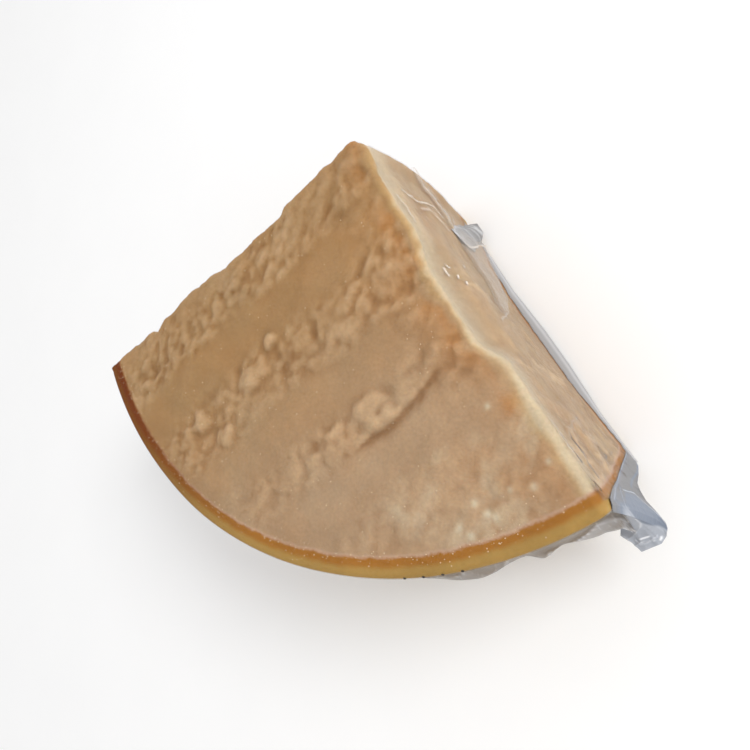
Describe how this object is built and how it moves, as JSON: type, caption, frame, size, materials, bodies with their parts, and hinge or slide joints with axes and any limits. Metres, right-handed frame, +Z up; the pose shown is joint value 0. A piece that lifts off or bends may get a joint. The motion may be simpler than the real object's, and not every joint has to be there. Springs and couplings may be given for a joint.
{
  "type": "hard ripened cheese",
  "caption": "Vacuum-packed wedge of hard ripened cheese cracked from a wheel, with a natural rind along its arc and plate, lying with the broken face up.",
  "frame": {"origin": "on the flat plate rind that the block rests on, halfway between the whole wheel's axis and the arc", "axes": "+Z up out of the broken half-height face, -Y from the apex towards the arc of rind, +X towards the right corner, where the bag's ear is"},
  "size_m": [0.3153, 0.2154, 0.1156],
  "materials": {
    "cheese": "satin, granular, with an orange-brown rind",
    "film": "clear glossy film"
  },
  "bodies": {
    "root": {"cheese": "cheese", "bag": "film"}
  },
  "joints": []
}
